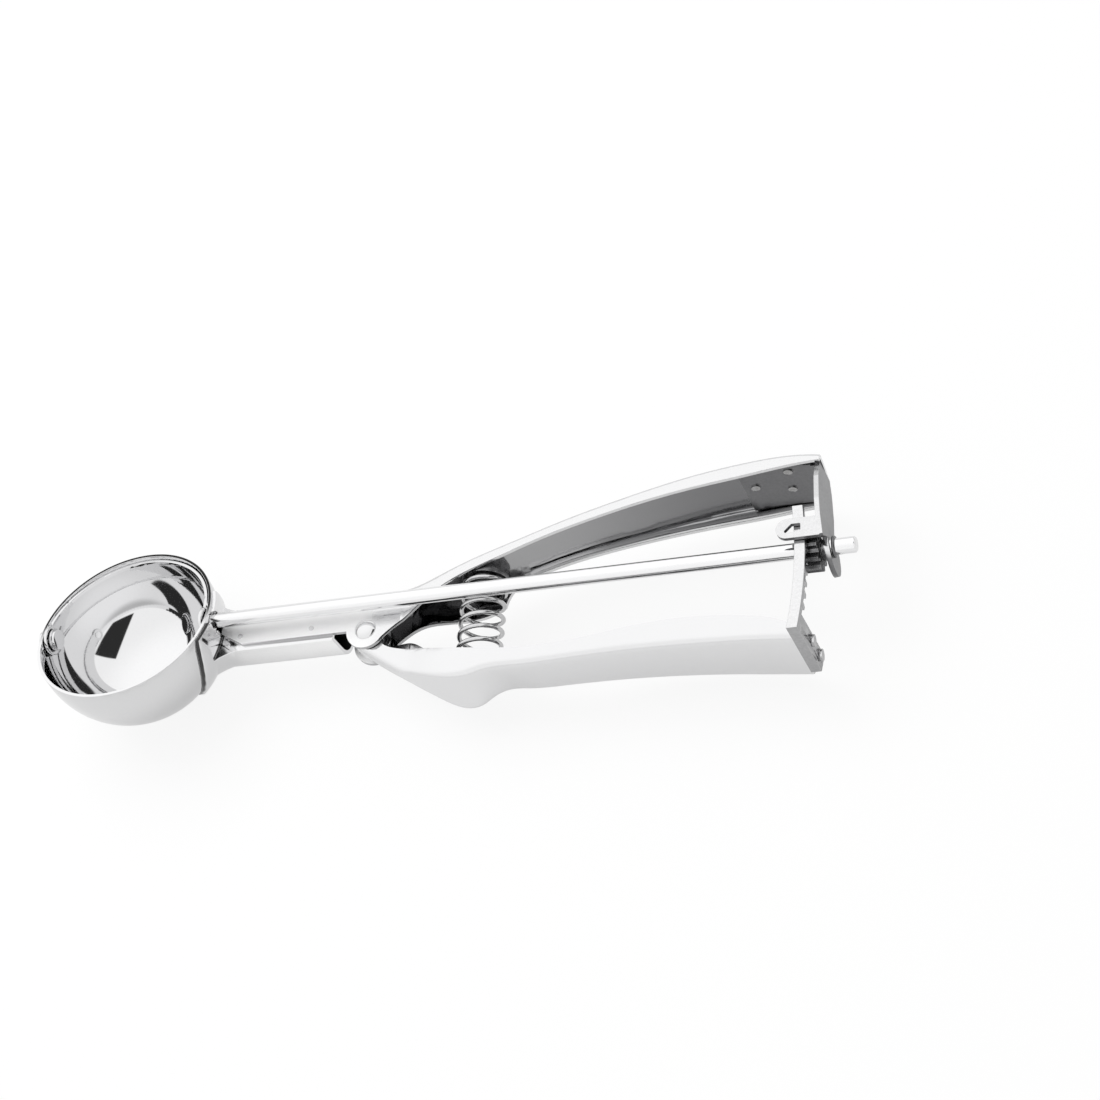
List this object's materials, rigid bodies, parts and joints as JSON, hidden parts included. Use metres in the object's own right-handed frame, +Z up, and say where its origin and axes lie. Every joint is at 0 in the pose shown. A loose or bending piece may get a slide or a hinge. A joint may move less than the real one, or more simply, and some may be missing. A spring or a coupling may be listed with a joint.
{
  "type": "ice cream scoop",
  "caption": "Squeeze-handle ice cream scoop: a rack on the sprung lever turns a pinion and rod that sweep a scraper blade round the bowl.",
  "frame": {"origin": "middle of the footprint, on the table under the bowl", "axes": "+X along the rod from the bowl to the rear end, +Y towards the main handle, +Z up, out of the bowl"},
  "size_m": [0.2226, 0.0522, 0.0342],
  "materials": {
    "polished": "mirror-polished stainless steel",
    "satin": "plain stainless steel, as pressed or machined"
  },
  "bodies": {
    "frame": {"bowl": "polished", "neck": "polished", "neck_welds": "satin", "main_handle": "polished", "end_bracket": "satin", "bracket_welds": "satin", "pivot_rivet": "polished", "spring_seat_upper": "satin", "spring": "satin", "blade_pin": "polished", "blade_washer": "satin"},
    "lever": {"lever": "polished", "rack": "polished", "rack_rivets": "satin", "spring_seat_lower": "satin", "pivot_spacer": "satin"},
    "scraper": {"rod": "polished", "blade": "polished", "pinion": "satin", "pinion_pin": "satin", "rod_collar": "polished", "thrust_washer": "satin"}
  },
  "joints": [
    {"name": "lever_squeeze", "type": "hinge", "parent": "frame", "child": "lever", "pos_m": [-0.018, -0.00541, 0.0166], "axis": [0, 0, 1], "range_deg": [0, 6.7], "stiffness_Nm_per_rad": 3.6, "springref_deg": -7.45, "deforming": ["spring"]},
    {"name": "blade_spin", "type": "hinge", "parent": "frame", "child": "scraper", "pos_m": [-0.0855, -0.00021, 0.025], "axis": [1, 0, 0], "range_deg": [-164, 0]}
  ],
  "couplings": [
    {"joint": "blade_spin", "follows": "lever_squeeze", "ratio": -24.434}
  ]
}
